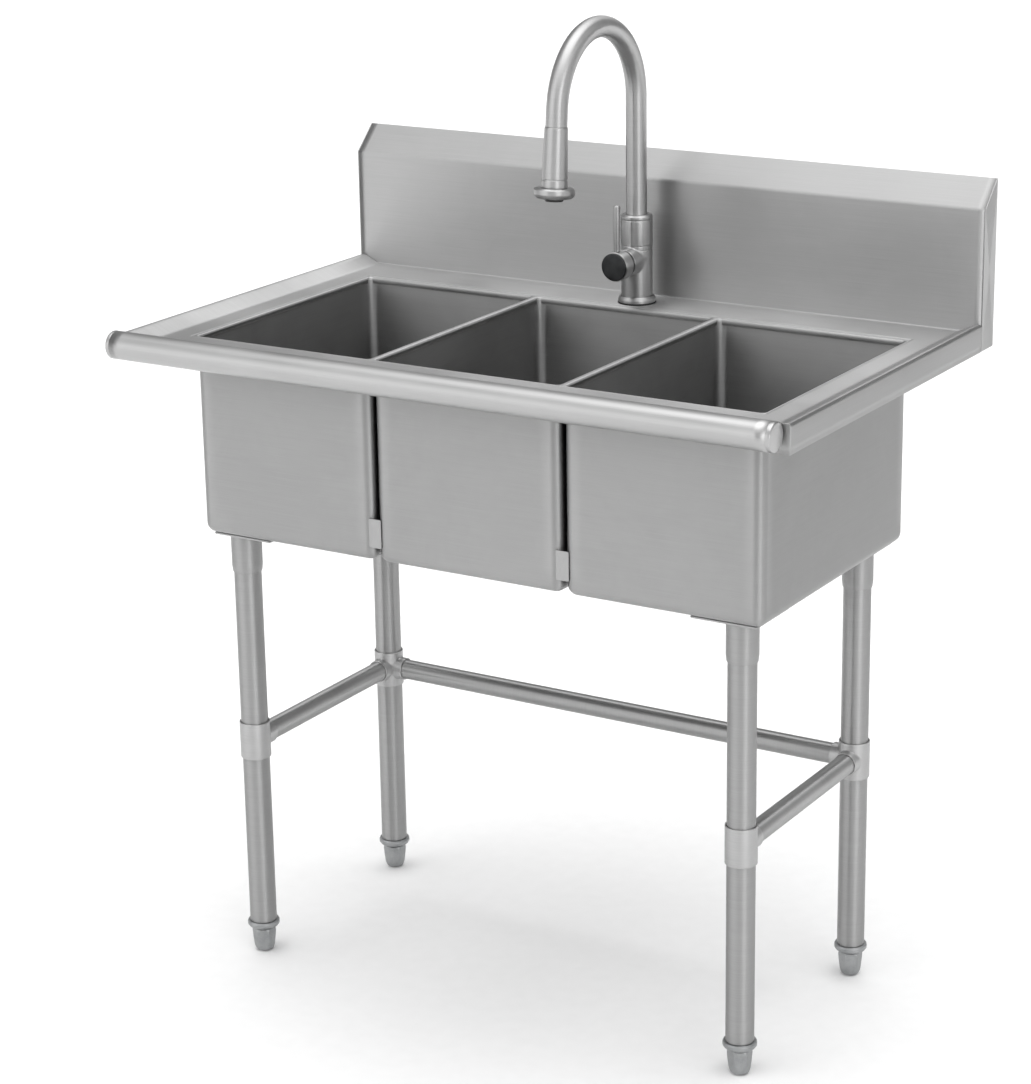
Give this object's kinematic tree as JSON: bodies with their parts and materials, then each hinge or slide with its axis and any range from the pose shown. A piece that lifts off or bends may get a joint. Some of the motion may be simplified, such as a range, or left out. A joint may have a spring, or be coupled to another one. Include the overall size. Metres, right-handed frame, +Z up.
{
  "type": "compartment sink",
  "caption": "Free-standing stainless restaurant sink with deep compartments, backsplash, rolled front rim, tube legs with cross rails and a gooseneck pull-down faucet",
  "frame": {"origin": "on the floor, under the middle of the overall box", "axes": "+X to the right as seen from the front, +Y to the rear, where the backsplash stands, +Z up"},
  "size_m": [1, 0.654, 1.3217],
  "materials": {
    "satin_sheet": "satin stainless sheet, fine grain",
    "polished_roll": "stainless sheet rolled along its grain, slightly brighter",
    "tube_steel": "lengthwise polished stainless tube",
    "drain_steel": "spun stainless, polished",
    "brushed_nickel": "brushed nickel plating",
    "cast_metal": "die-cast, tumbled, dull grey",
    "dark_cap": "dark semi-gloss cap",
    "black_rubber": "black rubber gasket",
    "black_plastic": "black moulded spray face",
    "hose_braid": "grey braided hose"
  },
  "bodies": {
    "sink": {"top_deck": "satin_sheet", "backsplash": "satin_sheet", "splash_end_left": "satin_sheet", "splash_end_right": "satin_sheet", "front_roll": "polished_roll", "bowl_left": "satin_sheet", "drain_body_left": "drain_steel", "drain_locknut_left": "cast_metal", "bowl_middle": "satin_sheet", "drain_body_middle": "drain_steel", "drain_locknut_middle": "cast_metal", "bowl_right": "satin_sheet", "drain_body_right": "drain_steel", "drain_locknut_right": "cast_metal", "bowl_spacer_left": "satin_sheet", "rail_left": "tube_steel", "bowl_spacer_right": "satin_sheet", "rail_right": "tube_steel", "rail_rear": "tube_steel", "gusset_front_left": "satin_sheet", "leg_socket_front_left": "tube_steel", "leg_front_left": "tube_steel", "rail_collar_front_left": "tube_steel", "foot_insert_front_left": "cast_metal", "gusset_front_right": "satin_sheet", "leg_socket_front_right": "tube_steel", "leg_front_right": "tube_steel", "rail_collar_front_right": "tube_steel", "foot_insert_front_right": "cast_metal", "gusset_rear_left": "satin_sheet", "leg_socket_rear_left": "tube_steel", "leg_rear_left": "tube_steel", "rail_collar_rear_left": "tube_steel", "foot_insert_rear_left": "cast_metal", "gusset_rear_right": "satin_sheet", "leg_socket_rear_right": "tube_steel", "leg_rear_right": "tube_steel", "rail_collar_rear_right": "tube_steel", "foot_insert_rear_right": "cast_metal", "faucet_gasket": "black_rubber", "faucet_base_ring": "brushed_nickel", "faucet_body": "brushed_nickel", "faucet_mounting_nut": "cast_metal"},
    "spout": {"spout_collar": "brushed_nickel", "spout_tube": "brushed_nickel"},
    "spray_head": {"spray_body": "brushed_nickel", "spray_ring": "brushed_nickel", "spray_nozzle": "black_plastic", "spray_hose_end": "hose_braid"},
    "cartridge": {"cartridge_bonnet": "cast_metal"},
    "handle": {"handle_hub": "brushed_nickel", "handle_cap": "dark_cap", "handle_lever": "brushed_nickel"},
    "basket_left": {"strainer_basket_left": "drain_steel"},
    "basket_middle": {"strainer_basket_middle": "drain_steel"},
    "basket_right": {"strainer_basket_right": "drain_steel"},
    "foot_front_left": {"foot_front_left": "cast_metal"},
    "foot_front_right": {"foot_front_right": "cast_metal"},
    "foot_rear_left": {"foot_rear_left": "cast_metal"},
    "foot_rear_right": {"foot_rear_right": "cast_metal"}
  },
  "joints": [
    {"name": "spout_swivel", "type": "hinge", "parent": "sink", "child": "spout", "pos_m": [0, 0.241, 1], "axis": [0, 0, 1], "range_deg": [-90, 90]},
    {"name": "spray_pull", "type": "slide", "parent": "spout", "child": "spray_head", "axis": [0, -0.0872, -0.9962], "range_m": [0, 0.045]},
    {"name": "temperature_turn", "type": "hinge", "parent": "sink", "child": "cartridge", "pos_m": [0, 0.241, 0.972], "axis": [0, 1, 0], "range_deg": [-50, 50]},
    {"name": "handle_lift", "type": "hinge", "parent": "cartridge", "child": "handle", "pos_m": [0, 0.203, 0.972], "axis": [1, 0, 0], "range_deg": [0, 15]},
    {"name": "basket_lift_left", "type": "slide", "parent": "sink", "child": "basket_left", "axis": [0, 0, 1], "range_m": [0, 0.05]},
    {"name": "basket_lift_middle", "type": "slide", "parent": "sink", "child": "basket_middle", "axis": [0, 0, 1], "range_m": [0, 0.05]},
    {"name": "basket_lift_right", "type": "slide", "parent": "sink", "child": "basket_right", "axis": [0, 0, 1], "range_m": [0, 0.05]},
    {"name": "foot_screw_front_left", "type": "slide", "parent": "sink", "child": "foot_front_left", "axis": [0, 0, -1], "range_m": [0, 0.025]},
    {"name": "foot_screw_front_right", "type": "slide", "parent": "sink", "child": "foot_front_right", "axis": [0, 0, -1], "range_m": [0, 0.025]},
    {"name": "foot_screw_rear_left", "type": "slide", "parent": "sink", "child": "foot_rear_left", "axis": [0, 0, -1], "range_m": [0, 0.025]},
    {"name": "foot_screw_rear_right", "type": "slide", "parent": "sink", "child": "foot_rear_right", "axis": [0, 0, -1], "range_m": [0, 0.025]}
  ]
}
